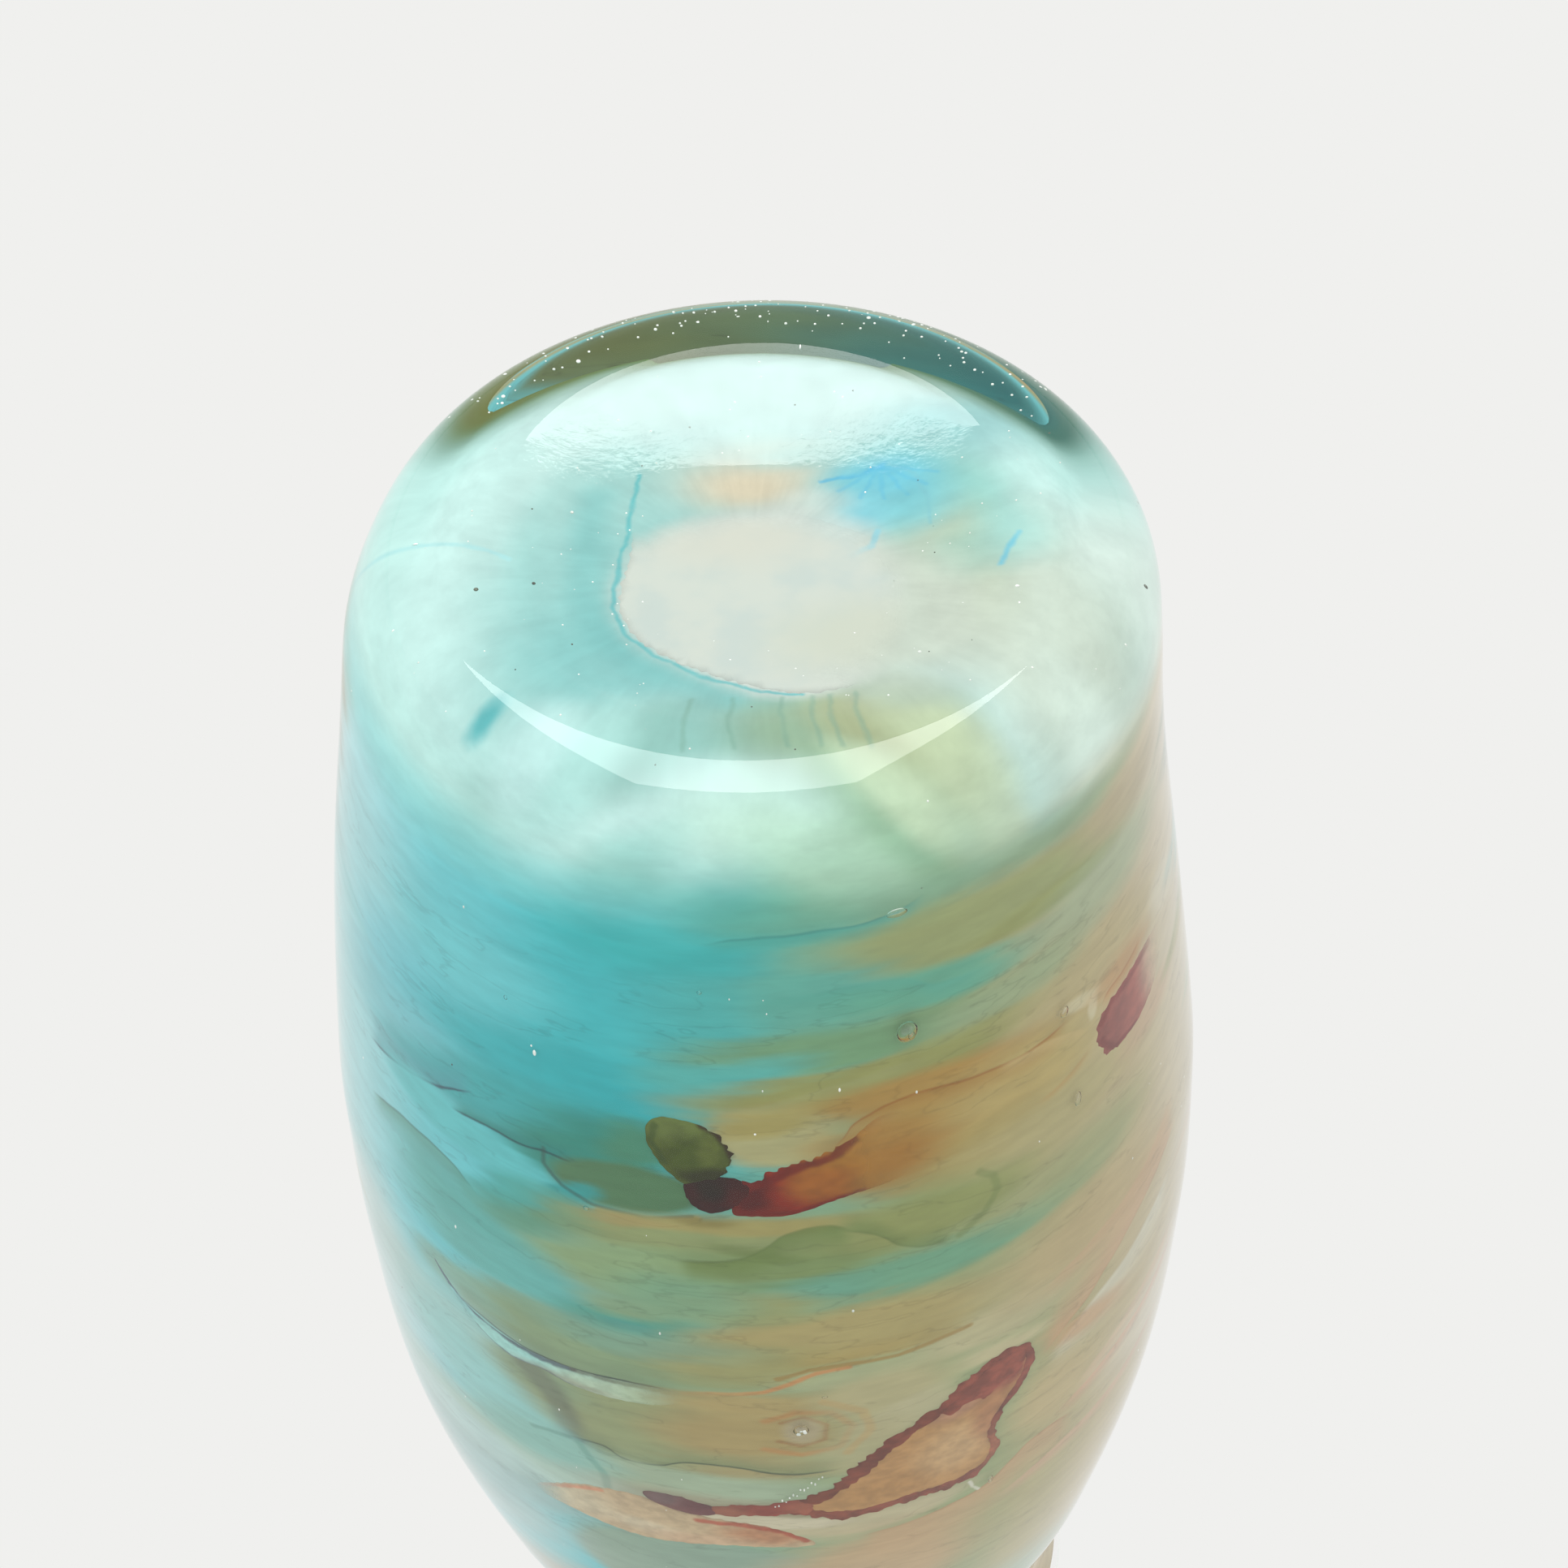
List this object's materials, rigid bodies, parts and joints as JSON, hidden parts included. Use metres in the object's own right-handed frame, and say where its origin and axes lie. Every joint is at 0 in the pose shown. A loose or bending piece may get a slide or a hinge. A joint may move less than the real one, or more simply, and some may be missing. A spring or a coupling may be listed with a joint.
{
  "type": "vase",
  "caption": "Hand blown barrel-shaped art glass vase: opal inner vessel, coloured overlay with glass shards, thick clear casing, short flared neck.",
  "frame": {"origin": "middle of the flat ring that the vase stands on", "axes": "+Z along the vase's axis, from the foot towards the mouth; -Y is the front, the side with most of the shards"},
  "size_m": [0.137, 0.137, 0.254],
  "materials": {
    "opal_glass": "glossy opal white inside wall",
    "overlay_glass": "streaked turquoise, sage and amber glass over opal",
    "patch_glass": "bare pale opal glass under the foot",
    "clear_glass": "fire-polished clear glass with small trapped bubbles",
    "olive_glass": "dark olive shard",
    "maroon_glass": "dark maroon shard",
    "rust_glass": "rust brown shard that fades to tan",
    "plum_glass": "dusty plum shard",
    "amber_glass": "tan amber shard",
    "dark_rim_glass": "dark beaded edge of the amber shard",
    "plum_chip_glass": "dark plum chip",
    "rust_thread_glass": "rust red thread",
    "pale_blue_glass": "pale blue shard with dark edges",
    "peach_glass": "peach shard"
  },
  "bodies": {
    "root": {"opal_core": "opal_glass", "colour_overlay": "overlay_glass", "base_patch": "patch_glass", "clear_casing": "clear_glass", "olive_shard": "olive_glass", "maroon_shard": "maroon_glass", "rust_ribbon": "rust_glass", "plum_shard": "plum_glass", "amber_leaf": "amber_glass", "leaf_rim": "dark_rim_glass", "plum_chip": "plum_chip_glass", "rust_thread": "rust_thread_glass", "blue_sliver": "pale_blue_glass", "peach_ribbon": "peach_glass"}
  },
  "joints": []
}
